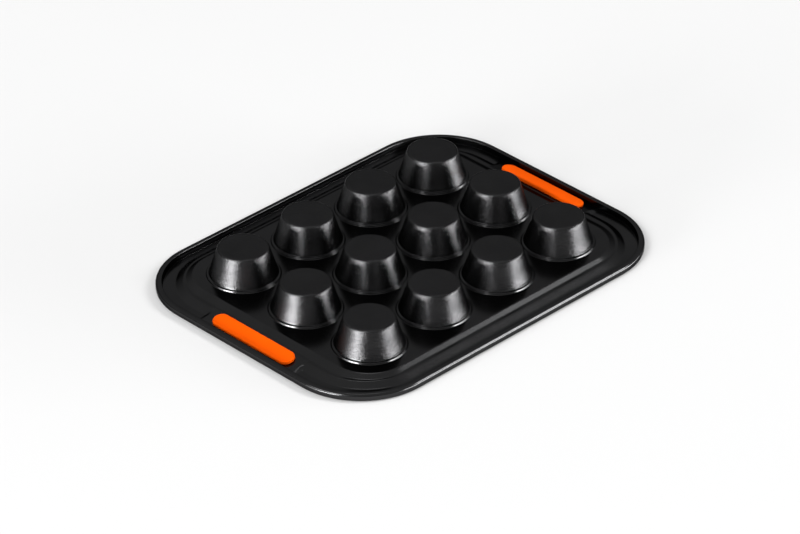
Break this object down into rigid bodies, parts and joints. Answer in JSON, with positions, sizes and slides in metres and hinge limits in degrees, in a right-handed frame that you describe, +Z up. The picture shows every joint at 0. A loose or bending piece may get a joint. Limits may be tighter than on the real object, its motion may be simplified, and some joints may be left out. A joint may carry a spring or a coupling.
{
  "type": "mini muffin pan",
  "caption": "Dark non-stick mini muffin pan lying face down, a grid of round tapered cups in one pressed sheet with a rolled rim and an orange silicone grip in each short side.",
  "frame": {"origin": "centre of the pan's footprint, on the surface that it lies on, with the floors of its cups up", "axes": "+X along the long side towards grip_right, +Y along the short side, +Z up, from the pan's baking side to its cup floors"},
  "size_m": [0.3212, 0.2426, 0.0293],
  "materials": {
    "coated_steel": "satin non-stick coating",
    "wire_steel": "drawn wire",
    "orange_silicone": "matt silicone"
  },
  "bodies": {
    "root": {"pan_body": "coated_steel", "rim_wire": "wire_steel", "grip_left": "orange_silicone", "grip_right": "orange_silicone"}
  },
  "joints": []
}
